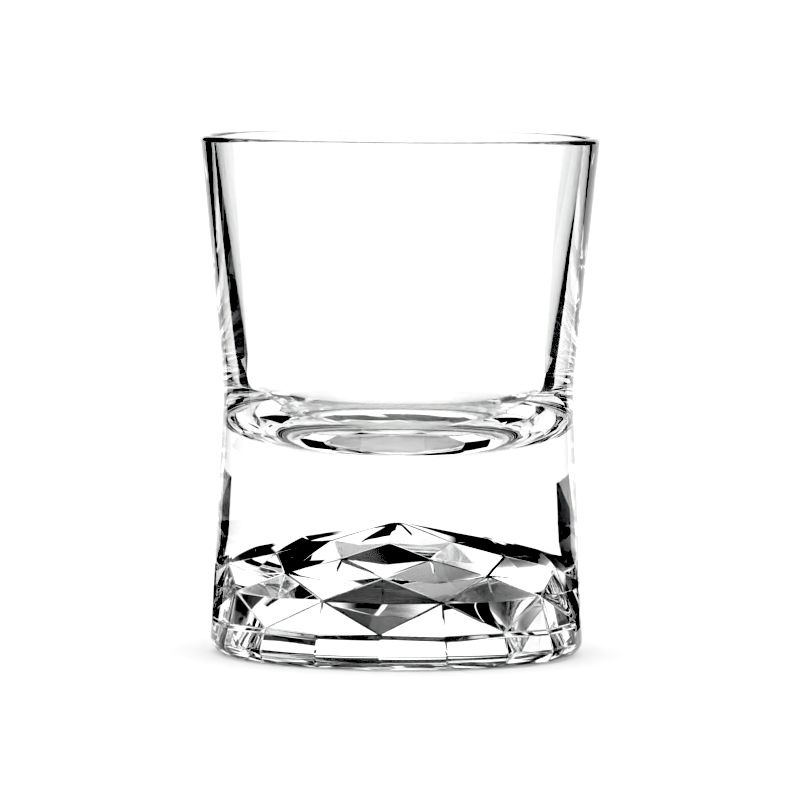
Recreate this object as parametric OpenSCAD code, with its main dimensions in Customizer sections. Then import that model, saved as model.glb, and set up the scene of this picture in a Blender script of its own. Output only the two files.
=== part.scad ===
// Whiskey tumbler: a flared glass bowl on a heavy base that is cut like a jewel from underneath.
// The axis is Z, the origin is the middle of the face that it rests on, and sizes are in millimetres.

/* [Overall] */
// Height from the resting face to the top of the lip
height = 104; // [98:1:112]
// Height of the plane in the solid glass where the bowl meets the base
joint_z = 34; // [31:0.5:36]

/* [Outside wall] */
// Radius that the upper cone would have at the top of the lip
rim_r = 40.1; // [39:0.1:43]
// Radius that the lower cone would have at the resting face
foot_r = 37.6; // [37.5:0.1:39]
// Radius at which the lower and the upper cone would meet
waist_r = 34.95; // [34.5:0.05:36]
// Height at which the two cones would meet
waist_z = 53.4; // [50:0.2:58]
// Radius of the soft curve that joins the two cones
waist_round = 90; // [40:5:140]
// Rounding of the outer bottom edge
foot_round = 3.2; // [2:0.1:3.3]

/* [Inside of the bowl] */
// Wall thickness at the lip
lip_wall = 2.1; // [1.6:0.1:2.6]
// Inward travel of the inner wall for each unit down
inner_slope = 0.168; // [0.14:0.002:0.18]
// Height of the floor
floor_z = 40.2; // [38.5:0.1:44]
// Radius of the curve between the inner wall and the floor
corner_round = 18; // [12:0.5:20]

/* [Faceted hollow in the underside] */
// Radius of the hollow's round mouth
mouth_r = 33.3; // [33.1:0.05:33.5]
// Height of the narrow ledge that the facets stand on
ledge_z = 2; // [1:0.1:3]
// Radius of the facets' corners on the ledge
ledge_r = 33; // [32.6:0.05:33]
// Height of the hollow's peak
peak_z = 27; // [25:0.5:28]
// Turn of the whole pattern about the axis, in degrees
facet_turn = -5.5; // [-22:0.5:22]

/* [Hidden] */
$fn = 180;
GLASS = [0.88, 0.94, 0.95, 0.6];
ARC_STEP = 4;
CUT = 1;

// Facet columns round the axis, and the angle from a column's middle to its edge.
COLUMNS = 8;
HALF_COLUMN = 180 / COLUMNS;
// Corners of the facets as [radius, height], row by row up to the peak. Each row sits half a column
// round from the one below it.
CORNERS = [[31.1, 6.7], [28.5, 12.9], [24.5, 17.5], [19, 20.7], [12.7, 23.6], [0, peak_z]];
// How far each diamond's fold lies from its low corner towards its side corners' line, row by row.
FOLDS = [0.93, 0.73, 0.69, 0.8];
// Points half way between the lowest corners, where the lowest diamonds end in upright panels.
LOW_MIDDLE = [30.5, 6.3];
// Tops of the panels, below the lowest corners and below the points between them. A narrow chamfer
// leads from them to the diamonds.
PANEL_CORNER = [31.75, 5.8];
PANEL_MIDDLE = [31.15, 5.5];

// Number of the top row, which is the peak alone.
TOP_ROW = len(CORNERS) - 1;

lower_lean = atan((foot_r - waist_r) / waist_z);
upper_lean = atan((rim_r - waist_r) / (height - waist_z));
inner_lean = atan(inner_slope);
lip_round = lip_wall / 2;

// Points of an arc about a centre, from one angle to another.
function arc(centre, radius, from, to) =
    let (steps = ceil(abs(to - from) / ARC_STEP))
    [for (i = [0 : steps]) let (a = from + (to - from) * i / steps) centre + radius * [cos(a), sin(a)]];

// Radius of the two outer cones and of the inner wall at a height.
function lower_r(z) = foot_r - z * tan(lower_lean);
function upper_r(z) = rim_r - (height - z) * tan(upper_lean);
function inner_r(z) = lip_centre[0] - lip_round / cos(inner_lean) - (lip_centre[1] - z) * inner_slope;

// The foot's arc touches the resting face and the lower cone.
foot_centre = [lower_r(foot_round) - foot_round / cos(lower_lean), foot_round];
foot_arc = arc(foot_centre, foot_round, -90, lower_lean);

// The waist's arc has its centre outside the glass and touches both cones.
waist_bend = (lower_lean + upper_lean) / 2;
waist_tilt = (lower_lean - upper_lean) / 2;
waist_centre = [waist_r, waist_z] + waist_round / cos(waist_bend) * [cos(waist_tilt), sin(waist_tilt)];
waist_arc = arc(waist_centre, waist_round, 180 + lower_lean, 180 - upper_lean);

// The lip's arc runs from the upper cone over the top to the inner wall.
lip_z = height - lip_round;
lip_centre = [upper_r(lip_z) - lip_round / cos(upper_lean), lip_z];
lip_arc = arc(lip_centre, lip_round, -upper_lean, 180 - inner_lean);

// The inside corner's arc touches the inner wall and the floor.
corner_z = floor_z + corner_round;
corner_centre = [inner_r(corner_z) - corner_round / cos(inner_lean), corner_z];
corner_arc = arc(corner_centre, corner_round, -inner_lean, -90);

// A ring of points at one [radius, height]. The first stands turn half columns round from the front.
function ring(place, turn) =
    [for (k = [0 : COLUMNS - 1]) let (a = 2 * HALF_COLUMN * k + turn * HALF_COLUMN - 90)
        [place[0] * cos(a), place[0] * sin(a), place[1]]];

// A ring of twice as many points, by turns at one place and at another.
function double_ring(even, odd) =
    [for (k = [0 : COLUMNS - 1]) each [ring(even, 0)[k], ring(odd, 1)[k]]];

// Where a diamond folds. It lies in the plane of the low and the side corners, so the lower half is flat.
function folded(low, side, share) = low + share * ([side[0] * cos(HALF_COLUMN), side[1]] - low);

// Levels of the double rings, bottom-up.
SKIRT = 0;
LEDGE = 1;
PANELS = 2;
FEET = 3;

// Where each kind of point starts in the list of the hollow's points: the double rings, the rings of
// corners above them, the rings of folds, and the peak.
FIRST_CORNER = 2 * COLUMNS * (FEET + 1);
FIRST_FOLD = FIRST_CORNER + COLUMNS * (TOP_ROW - 1);
PEAK = FIRST_FOLD + COLUMNS * len(FOLDS);
function double_at(level, j) = 2 * COLUMNS * level + j % (2 * COLUMNS);
function corner_at(row, k) =
    row == 0 ? double_at(FEET, 2 * k)
    : row == TOP_ROW ? PEAK
    : FIRST_CORNER + COLUMNS * (row - 1) + k % COLUMNS;
function fold_at(row, k) = FIRST_FOLD + COLUMNS * row + k % COLUMNS;

ledge_place = [ledge_r, ledge_z];
skirt_place = [ledge_r, -CUT];
hollow_points = concat(
    double_ring(skirt_place, skirt_place),
    double_ring(ledge_place, ledge_place),
    double_ring(PANEL_CORNER, PANEL_MIDDLE),
    double_ring(CORNERS[0], LOW_MIDDLE),
    [for (row = [1 : TOP_ROW - 1]) each ring(CORNERS[row], row % 2)],
    [for (row = [0 : TOP_ROW - 2]) each ring(folded(CORNERS[row], CORNERS[row + 1], FOLDS[row]), row % 2)],
    [[0, 0, peak_z]]
);

// The facets between a double ring and the one above it.
function band(level) =
    [for (j = [0 : 2 * COLUMNS - 1]) each [
        [double_at(level, j), double_at(level + 1, j), double_at(level + 1, j + 1)],
        [double_at(level, j), double_at(level + 1, j + 1), double_at(level, j + 1)]
    ]];

// The facets of one diamond, clockwise from outside. Its side corners are in the next row.
function diamond(row, k) =
    let (low = corner_at(row, k), high = corner_at(row + 2, k), fold = fold_at(row, k))
    let (left = corner_at(row + 1, row % 2 == 0 ? k + COLUMNS - 1 : k))
    let (right = corner_at(row + 1, row % 2 == 0 ? k : k + 1))
    [[fold, low, left], [fold, left, high], [fold, high, right], [fold, right, low]];

// The two facets that fill the gap between two of the lowest diamonds.
function wedge(k) =
    let (middle = double_at(FEET, 2 * k + 1))
    [[middle, corner_at(0, k), corner_at(1, k)], [middle, corner_at(1, k), corner_at(0, k + 1)]];

hollow_faces = concat(
    [[for (j = [0 : 2 * COLUMNS - 1]) double_at(SKIRT, j)]],
    band(SKIRT),
    band(LEDGE),
    band(PANELS),
    [for (k = [0 : COLUMNS - 1]) each wedge(k)],
    [for (row = [0 : TOP_ROW - 2]) for (k = [0 : COLUMNS - 1]) each diamond(row, k)]
);

// The air under the base: a round mouth up to the ledge, and the facets above it.
module hollow() {
    translate([0, 0, -2 * CUT]) cylinder(r = mouth_r, h = ledge_z + 2 * CUT);
    rotate([0, 0, facet_turn]) polyhedron(points = hollow_points, faces = hollow_faces, convexity = 4);
}

// Thin flared wall with a rounded lip, down to the solid glass under the floor.
module bowl() {
    joint_face = [[0, joint_z], [lower_r(joint_z), joint_z]];
    outline = concat(joint_face, waist_arc, lip_arc, corner_arc, [[0, floor_z]]);
    color(GLASS) rotate_extrude() polygon(outline);
}

// Heavy base with its foot ring, hollowed from underneath.
module base() {
    outline = concat([[0, 0]], foot_arc, [[lower_r(joint_z), joint_z], [0, joint_z]]);
    color(GLASS) difference() {
        rotate_extrude() polygon(outline);
        hollow();
    }
}

bowl();
base();
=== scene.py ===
"""The whiskey tumbler's looks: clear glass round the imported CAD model, a pale stage and a soft studio."""

import math

import bmesh
import bpy
import numpy as np
from mathutils import Matrix, Vector


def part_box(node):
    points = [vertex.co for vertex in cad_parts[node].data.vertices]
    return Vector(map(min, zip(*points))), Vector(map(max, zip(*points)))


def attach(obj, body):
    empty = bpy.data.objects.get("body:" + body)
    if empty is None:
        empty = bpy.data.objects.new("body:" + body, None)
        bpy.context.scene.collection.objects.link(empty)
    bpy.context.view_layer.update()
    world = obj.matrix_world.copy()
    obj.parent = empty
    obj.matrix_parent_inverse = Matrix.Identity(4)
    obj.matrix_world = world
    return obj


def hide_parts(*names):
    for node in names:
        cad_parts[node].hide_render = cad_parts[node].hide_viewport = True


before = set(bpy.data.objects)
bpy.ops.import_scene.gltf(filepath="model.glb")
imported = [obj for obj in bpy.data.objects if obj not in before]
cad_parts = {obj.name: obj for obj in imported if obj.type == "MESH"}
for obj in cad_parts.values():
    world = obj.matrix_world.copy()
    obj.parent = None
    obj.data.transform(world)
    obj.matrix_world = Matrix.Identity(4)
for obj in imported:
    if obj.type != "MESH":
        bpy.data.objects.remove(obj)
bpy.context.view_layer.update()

MM = 0.001

# ---------------------------------------------------------------- the glass's shape, in millimetres
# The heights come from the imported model, and the other dimensions repeat the CAD source's.
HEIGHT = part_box("bowl")[1].z / MM
JOINT_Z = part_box("base")[1].z / MM
RIM_R = 40.1  # the two outer cones, as they would meet the lip's top, each other and the resting face
WAIST_R = 34.95
WAIST_Z = 53.4
FOOT_R = 37.6
WAIST_ROUND = 90
FOOT_ROUND = 3.2
LIP_WALL = 2.1
INNER_SLOPE = 0.168
FLOOR_Z = 40.2
CORNER_ROUND = 18
MOUTH_R = 33.3  # the hollow in the underside
MOUTH_ROUND = 0.25  # which the CAD model leaves sharp, as it does the facets' edges
LEDGE_Z = 2
LEDGE_R = 33
PEAK_Z = 27
FACET_TURN = -5.5  # degrees
# The facets' corners as (radius, height), row by row up to the peak, and how far each diamond's fold lies
# from its low corner towards its side corners' line.
CORNERS = [(31.1, 6.7), (28.5, 12.9), (24.5, 17.5), (19, 20.7), (12.7, 23.6), (0, PEAK_Z)]
FOLDS = [0.93, 0.73, 0.69, 0.8]
LOW_MIDDLE = (30.5, 6.3)  # between the lowest corners, and then the tops of the upright panels
PANEL_CORNER = (31.75, 5.8)
PANEL_MIDDLE = (31.15, 5.5)
COLUMNS = 8
HALF_COLUMN = 180 / COLUMNS
FRONT = -90  # degrees from +X to the side that faces the viewer
FACET_EDGE = 0.22  # how wide the facets' edges are rounded

# Each piece's materials, by number.
GLASS_SLOT = 0
JOINT_SLOT = 1

# How finely round shapes are drawn: segments round the axis, and degrees for each step of an arc.
SEGMENTS = 256
CORNER_STEP = 1.5
WAIST_STEP = 0.4
LIP_STEP = 6
FOOT_STEP = 4
MOUTH_STEP = 30


def arc(centre, radius, start, end, step):
    """Points of an arc in the (radius, height) plane, with angles in degrees."""
    count = max(2, math.ceil(abs(end - start) / step))
    angles = np.radians(np.linspace(start, end, count + 1))
    return [(centre[0] + radius * math.cos(a), centre[1] + radius * math.sin(a)) for a in angles]


class Outline:
    """The arcs and cones that the two pieces share."""

    def __init__(self):
        lower = math.atan((FOOT_R - WAIST_R) / WAIST_Z)
        upper = math.atan((RIM_R - WAIST_R) / (HEIGHT - WAIST_Z))
        inner = math.atan(INNER_SLOPE)
        lower_deg, upper_deg, inner_deg = (math.degrees(a) for a in (lower, upper, inner))
        lip = LIP_WALL / 2
        self.lower_slope = math.tan(lower)

        reach = WAIST_ROUND / math.cos((lower + upper) / 2)
        tilt = (lower - upper) / 2
        waist = (WAIST_R + reach * math.cos(tilt), WAIST_Z + reach * math.sin(tilt))
        self.waist = arc(waist, WAIST_ROUND, 180 + lower_deg, 180 - upper_deg, WAIST_STEP)

        lip_z = HEIGHT - lip
        lip_x = RIM_R - lip * math.tan(upper) - lip / math.cos(upper)
        self.lip = arc((lip_x, lip_z), lip, -upper_deg, 180 - inner_deg, LIP_STEP)

        corner_z = FLOOR_Z + CORNER_ROUND
        wall_x = lip_x - lip / math.cos(inner) - (lip_z - corner_z) * INNER_SLOPE
        corner_x = wall_x - CORNER_ROUND / math.cos(inner)
        self.corner = arc((corner_x, corner_z), CORNER_ROUND, -inner_deg, -90, CORNER_STEP)

        foot_x = self.lower_r(FOOT_ROUND) - FOOT_ROUND / math.cos(lower)
        self.foot = arc((foot_x, FOOT_ROUND), FOOT_ROUND, lower_deg, -90, FOOT_STEP)

    def lower_r(self, z):
        return FOOT_R - z * self.lower_slope


def around(radius, angle, z):
    """The point at a radius and an angle about the axis, in radians, and at a height."""
    return (radius * math.cos(angle), radius * math.sin(angle), z)


def revolved(bm, outline):
    """Rings of quads round the axis, one ring of points for each point of the outline. Returns the rings."""
    rings = []
    for radius, z in outline:
        places = [around(radius * MM, math.tau * k / SEGMENTS, z * MM) for k in range(SEGMENTS)]
        rings.append([bm.verts.new(place) for place in places])
    for low, high in zip(rings, rings[1:]):
        for k in range(SEGMENTS):
            n = (k + 1) % SEGMENTS
            face = bm.faces.new((low[k], low[n], high[n], high[k]))
            face.smooth = True
    return rings


def disc(bm, ring, z, smooth, material):
    """A fan of triangles from the axis to a ring, in one of the piece's materials."""
    centre = bm.verts.new((0, 0, z * MM))
    for k in range(SEGMENTS):
        face = bm.faces.new((ring[k], ring[(k + 1) % SEGMENTS], centre))
        face.smooth = smooth
        face.material_index = material


def finished(bm, name, materials):
    """Makes an object, with its normals outwards and a crease where flat faces meet smooth ones."""
    bmesh.ops.recalc_face_normals(bm, faces=bm.faces)
    for edge in bm.edges:
        if len({face.smooth for face in edge.link_faces}) > 1:
            edge.smooth = False
    mesh = bpy.data.meshes.new(name)
    bm.to_mesh(mesh)
    bm.free()
    for material in materials:
        mesh.materials.append(material)
    piece = bpy.data.objects.new(name, mesh)
    bpy.context.scene.collection.objects.link(piece)
    return piece


def bowl_piece(shape, materials):
    """The flared bowl, from the joint up over the lip and down to its floor."""
    bm = bmesh.new()
    outline = [(shape.lower_r(JOINT_Z), JOINT_Z), *shape.waist, *shape.lip, *shape.corner[:-1]]
    rings = revolved(bm, outline)
    disc(bm, rings[-1], FLOOR_Z, True, GLASS_SLOT)
    disc(bm, rings[0], JOINT_Z, False, JOINT_SLOT)
    return finished(bm, "bowl_glass", materials)


def facet_ring(bm, place, half_turn):
    """New points round the axis at a (radius, height), the first half_turn half columns from the front."""
    radius, z = place
    turns = [FRONT + FACET_TURN + (2 * k + half_turn) * HALF_COLUMN for k in range(COLUMNS)]
    return [bm.verts.new(around(radius * MM, math.radians(turn), z * MM)) for turn in turns]


def folded(low, side, share):
    """Where a diamond folds. It lies in the plane of the low and side corners, so the lower half is flat."""
    across = (side[0] * math.cos(math.radians(HALF_COLUMN)), side[1])
    return [start + share * (end - start) for start, end in zip(low, across)]


def faceted_hollow(bm):
    """The faceted dome above the ledge, with rounded edges. Returns the edges of its open lower rim."""
    corner = [facet_ring(bm, place, row % 2) for row, place in enumerate(CORNERS[:-1])]
    peak = bm.verts.new((0, 0, PEAK_Z * MM))
    feet = (corner[0], facet_ring(bm, LOW_MIDDLE, 1))
    panels = (facet_ring(bm, PANEL_CORNER, 0), facet_ring(bm, PANEL_MIDDLE, 1))
    ledge = (facet_ring(bm, (LEDGE_R, LEDGE_Z), 0), facet_ring(bm, (LEDGE_R, LEDGE_Z), 1))
    faces = []
    for k in range(COLUMNS):
        n = (k + 1) % COLUMNS
        for low, high in ((ledge, panels), (panels, feet)):
            faces.append((low[0][k], low[1][k], high[1][k], high[0][k]))
            faces.append((low[1][k], low[0][n], high[0][n], high[1][k]))
        faces.append((feet[0][k], feet[1][k], corner[1][k]))
        faces.append((feet[1][k], feet[0][n], corner[1][k]))
    for row, share in enumerate(FOLDS):
        folds = facet_ring(bm, folded(CORNERS[row], CORNERS[row + 1], share), row % 2)
        for k, (low, fold) in enumerate(zip(corner[row], folds)):
            left = corner[row + 1][k - 1 + row % 2]
            right = corner[row + 1][(k + row % 2) % COLUMNS]
            high = peak if row == len(FOLDS) - 1 else corner[row + 2][k]
            faces += [(low, right, fold, left), (fold, right, high), (fold, high, left)]
    made = [bm.faces.new(face) for face in faces]
    creases = {edge for face in made for edge in face.edges if len(edge.link_faces) == 2}
    rounded = bmesh.ops.bevel(
        bm,
        geom=list(creases),
        offset=FACET_EDGE * MM,
        segments=2,
        profile=0.5,
        affect="EDGES",
        clamp_overlap=True,
    )
    for face in rounded["faces"]:
        face.smooth = True
    return [edge for edge in bm.edges if len(edge.link_faces) == 1]


def base_piece(shape, materials):
    """The heavy base, from the joint down round the foot and up into the faceted hollow."""
    bm = bmesh.new()
    rim = faceted_hollow(bm)
    mouth = arc((MOUTH_R + MOUTH_ROUND, MOUTH_ROUND), MOUTH_ROUND, 270, 180, MOUTH_STEP)
    outline = [(shape.lower_r(JOINT_Z), JOINT_Z), *shape.foot, *mouth, (MOUTH_R, LEDGE_Z)]
    rings = revolved(bm, outline)
    disc(bm, rings[0], JOINT_Z, False, JOINT_SLOT)
    mouth_top = set(rings[-1])
    mouth_edges = [edge for edge in bm.edges if len(edge.link_faces) == 1 and edge.verts[0] in mouth_top]
    bmesh.ops.triangle_fill(bm, use_beauty=True, use_dissolve=False, edges=rim + mouth_edges)
    return finished(bm, "base_glass", materials)


# ---------------------------------------------------------------- materials
GLASS_COLOUR = (0.995, 1, 0.995, 1)
GLASS_IOR = 1.5
WAVES = 55  # broad waves left by the mould, for each metre
WAVE_DEPTH = 0.00002
SPECKS = 900  # fine orange-peel of fire-polished glass, for each metre
SPECK_DEPTH = 0.0000007


def glass():
    """Clear pressed glass: a very faint waviness and a finer orange-peel, both through the normals."""
    material = bpy.data.materials.new("clear_glass")
    material.use_nodes = True
    tree = material.node_tree
    shader = tree.nodes["Principled BSDF"]
    shader.inputs["Base Color"].default_value = GLASS_COLOUR
    shader.inputs["Roughness"].default_value = 0
    shader.inputs["IOR"].default_value = GLASS_IOR
    shader.inputs["Transmission Weight"].default_value = 1
    place = tree.nodes.new("ShaderNodeTexCoord").outputs["Object"]
    normal = None
    for scale, depth in ((WAVES, WAVE_DEPTH), (SPECKS, SPECK_DEPTH)):
        noise = tree.nodes.new("ShaderNodeTexNoise")
        noise.inputs["Scale"].default_value = scale
        noise.inputs["Detail"].default_value = 1
        tree.links.new(place, noise.inputs["Vector"])
        bump = tree.nodes.new("ShaderNodeBump")
        bump.inputs["Distance"].default_value = depth
        tree.links.new(noise.outputs["Fac"], bump.inputs["Height"])
        if normal:
            tree.links.new(normal, bump.inputs["Normal"])
        normal = bump.outputs["Normal"]
    tree.links.new(normal, shader.inputs["Normal"])
    return material


def joined():
    """The plane where the two pieces are one glass, which light crosses as if nothing were there."""
    material = bpy.data.materials.new("fused_joint")
    material.use_nodes = True
    tree = material.node_tree
    tree.nodes.clear()
    clear = tree.nodes.new("ShaderNodeBsdfTransparent")
    output = tree.nodes.new("ShaderNodeOutputMaterial")
    tree.links.new(clear.outputs[0], output.inputs["Surface"])
    return material


# ---------------------------------------------------------------- camera, in metres and degrees
CAMERA_ASIDE = 0.00034
CAMERA_AWAY = 1.4
CAMERA_Z = 0.14687
CAMERA_PITCH = 3.919
CAMERA_ROLL = 0.457
SENSOR = 36  # millimetres, as the lens is
LENS = 314.2
CLIP_END = 100


def add_camera():
    """The view from the front and a little above the lip, through a long lens."""
    data = bpy.data.cameras.new("camera")
    data.sensor_width = SENSOR
    data.lens = LENS
    data.clip_end = CLIP_END
    camera = bpy.data.objects.new("camera", data)
    tilt = Matrix.Rotation(math.radians(90 - CAMERA_PITCH), 4, "X")
    roll = Matrix.Rotation(math.radians(CAMERA_ROLL), 4, "Z")
    camera.matrix_world = Matrix.Translation((CAMERA_ASIDE, -CAMERA_AWAY, CAMERA_Z)) @ tilt @ roll
    bpy.context.scene.collection.objects.link(camera)
    bpy.context.scene.camera = camera


# ---------------------------------------------------------------- stage and light
# A square tent: white walls straight ahead on four sides, black corners, a black gap over the walls and a
# white ceiling. Its edges are given as slopes, sideways or up, against the direction's larger flat part.
STUDIO_TURN = -3.5  # degrees about the glass, which turns the tent and the cards
WALL_SIDE = (0.36, 0.39)  # where a wall fades into the black corner, sideways
WALL_TOP = (0.5, 0.54)  # where it fades into the black gap above it
CEILING = (2.5, 2.7)  # where the gap fades into the ceiling
WHITE = (1.35, 1.35, 1.35, 1)
BLACK = (0.004, 0.004, 0.006, 1)
FLOOR_GREY = (0.9, 0.9, 0.9, 1)
FLOOR_R = 40  # in metres, so wide that its edge is out of sight
FLOOR_SEGMENTS = 96
MATT_ROUGHNESS = 0.9

# Outlines of the corner cards and the low blocks, in millimetres from the axis, and the height of both.
CARD = [(54, 60), (65, 47), (110, 71), (2000, 500), (1000, 1700), (206, 283), (116, 124)]
CARD_SIDES = [(1, 1), (-1, 1), (-1, -1), (1, -1)]  # mirrored into each corner
BLOCK = [(54, 60), (65, 47), (140, 88), (116, 124)]
BLOCK_SIDES = [(1, 1), (-1, 1)]  # behind the glass only
CARD_Z = 12
# Which light passes through the black as if nothing were there. For the cards it is light that the glass
# hasn't turned back, and for the blocks it is light bent more than twice, or come further than from the
# base, in metres.
CARD_CLEAR = [("Glossy Depth", "LESS_THAN", 0.5)]
BLOCK_CLEAR = [("Transmission Depth", "GREATER_THAN", 2.5), ("Ray Length", "GREATER_THAN", 0.125)]

# The Mix node's colour sockets, which share their names with its number and vector sockets.
MIX_FIRST = 6
MIX_SECOND = 7
MIX_RESULT = 2

# How much of the picture's dark end is taken to black, and how often light may be bent or turned back.
BLACK_LEVEL = 0.12
GLASS_BOUNCES = 32
GLOSSY_BOUNCES = 16
CLEAR_BOUNCES = 64


def stage_piece(name, corners, faces, material):
    """A piece of the set, which isn't part of the object."""
    mesh = bpy.data.meshes.new(name)
    mesh.from_pydata(corners, [], faces)
    mesh.materials.append(material)
    piece = bpy.data.objects.new(name, mesh)
    bpy.context.scene.collection.objects.link(piece)
    return piece


def matt(name, colour):
    """A plain surface with no shine, for the set."""
    material = bpy.data.materials.new(name)
    material.use_nodes = True
    shader = material.node_tree.nodes["Principled BSDF"]
    shader.inputs["Base Color"].default_value = colour
    shader.inputs["Roughness"].default_value = MATT_ROUGHNESS
    shader.inputs["Specular IOR Level"].default_value = 0
    return material


def glass_only(piece):
    """Hides a piece of the set from the camera and from the floor."""
    piece.visible_camera = False
    piece.visible_diffuse = False
    piece.visible_shadow = False


def maths(tree, operation, *values):
    """A maths node of numbers or other nodes' outputs."""
    node = tree.nodes.new("ShaderNodeMath")
    node.operation = operation
    for socket, value in zip(node.inputs, values):
        if isinstance(value, (int, float)):
            socket.default_value = value
        else:
            tree.links.new(value, socket)
    return node.outputs[0]


def fade(tree, value, ends):
    """0 below the first end and 1 above the second, with a soft edge between."""
    node = tree.nodes.new("ShaderNodeMapRange")
    node.interpolation_type = "SMOOTHSTEP"
    tree.links.new(value, node.inputs["Value"])
    node.inputs["From Min"].default_value, node.inputs["From Max"].default_value = ends
    return node.outputs["Result"]


def edge_black(name, clear_rules):
    """Black, but clear to light that any of the rules picks out."""
    material = matt(name, BLACK)
    tree = material.node_tree
    path = tree.nodes.new("ShaderNodeLightPath")
    clear = 0
    for what, comparison, limit in clear_rules:
        clear = maths(tree, "MAXIMUM", clear, maths(tree, comparison, path.outputs[what], limit))
    mix = tree.nodes.new("ShaderNodeMixShader")
    tree.links.new(clear, mix.inputs["Fac"])
    tree.links.new(tree.nodes["Principled BSDF"].outputs[0], mix.inputs[1])
    tree.links.new(tree.nodes.new("ShaderNodeBsdfTransparent").outputs[0], mix.inputs[2])
    tree.links.new(mix.outputs[0], tree.nodes["Material Output"].inputs["Surface"])
    return material


def add_floor():
    """The pale floor that the glass stands on."""
    corners = [around(FLOOR_R, math.tau * k / FLOOR_SEGMENTS, 0) for k in range(FLOOR_SEGMENTS)]
    stage_piece("floor", corners, [range(FLOOR_SEGMENTS)], matt("pale_floor", FLOOR_GREY))


def placed(outline, sides, heights):
    """An outline's corners, mirrored to one side of the turned studio, once at each height."""
    turn = Matrix.Rotation(math.radians(STUDIO_TURN), 3, "Z")
    across, along = sides
    return [turn @ Vector((across * x, along * y, z)) * MM for z in heights for x, y in outline]


def add_cards():
    """Flat black cards at the four corners. They draw the dark bands in the bowl's wall."""
    black = edge_black("card_black", CARD_CLEAR)
    for number, sides in enumerate(CARD_SIDES):
        corners = placed(CARD, sides, [CARD_Z])
        glass_only(stage_piece(f"card_{number}", corners, [range(len(CARD))], black))


def add_blocks():
    """Low black blocks behind. They draw the dark lines at the sides of the solid base."""
    black = edge_black("block_black", BLOCK_CLEAR)
    count = len(BLOCK)
    walls = [(k, (k + 1) % count, count + (k + 1) % count, count + k) for k in range(count)]
    for number, sides in enumerate(BLOCK_SIDES):
        corners = placed(BLOCK, sides, [CARD_Z, 0])
        glass_only(stage_piece(f"block_{number}", corners, [range(count), *walls], black))


def add_world():
    """The tent, as the glass sees it. The camera and the floor get an even white, with no hard shadow."""
    world = bpy.data.worlds.new("studio")
    bpy.context.scene.world = world
    world.use_nodes = True
    world.cycles.sampling_method = "NONE"
    tree = world.node_tree
    new = tree.nodes.new

    turned = new("ShaderNodeVectorRotate")
    turned.rotation_type = "Z_AXIS"
    turned.inputs["Angle"].default_value = math.radians(-STUDIO_TURN)
    tree.links.new(new("ShaderNodeTexCoord").outputs["Generated"], turned.inputs["Vector"])
    parts = new("ShaderNodeSeparateXYZ")
    tree.links.new(turned.outputs["Vector"], parts.inputs["Vector"])
    across = maths(tree, "ABSOLUTE", parts.outputs["X"])
    along = maths(tree, "ABSOLUTE", parts.outputs["Y"])
    ahead = maths(tree, "MAXIMUM", across, along)
    aside = maths(tree, "MINIMUM", across, along)

    corner = fade(tree, maths(tree, "DIVIDE", aside, ahead), WALL_SIDE)
    rise = maths(tree, "DIVIDE", parts.outputs["Z"], ahead)
    gap = fade(tree, rise, WALL_TOP)
    wall = maths(tree, "SUBTRACT", 1, maths(tree, "MAXIMUM", corner, gap))
    lit = maths(tree, "MAXIMUM", wall, fade(tree, rise, CEILING))

    path = new("ShaderNodeLightPath")
    from_floor = maths(tree, "GREATER_THAN", path.outputs["Diffuse Depth"], 0.5)
    direct = maths(tree, "MAXIMUM", path.outputs["Is Camera Ray"], from_floor)
    mix = new("ShaderNodeMix")
    mix.data_type = "RGBA"
    mix.inputs[MIX_FIRST].default_value = BLACK
    mix.inputs[MIX_SECOND].default_value = WHITE
    tree.links.new(maths(tree, "MAXIMUM", lit, direct), mix.inputs["Factor"])
    tree.links.new(mix.outputs[MIX_RESULT], tree.nodes["Background"].inputs["Color"])


def set_picture(scene):
    """The picture's contrast, and enough bounces for light to get out of thick glass."""
    scene.view_settings.view_transform = "Standard"
    scene.view_settings.use_curve_mapping = True
    scene.view_settings.curve_mapping.black_level = (BLACK_LEVEL,) * 3
    scene.view_settings.curve_mapping.update()
    scene.cycles.use_denoising = True
    scene.cycles.max_bounces = GLASS_BOUNCES
    scene.cycles.transmission_bounces = GLASS_BOUNCES
    scene.cycles.glossy_bounces = GLOSSY_BOUNCES
    scene.cycles.transparent_max_bounces = CLEAR_BOUNCES


# ---------------------------------------------------------------- making it all
add_camera()
add_floor()
add_cards()
add_blocks()
add_world()
set_picture(bpy.context.scene)

shape = Outline()
materials = [glass(), joined()]
bowl = bowl_piece(shape, materials)
base = base_piece(shape, materials)
for piece, node in ((bowl, "bowl"), (base, "base")):
    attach(piece, "root")
    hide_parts(node)
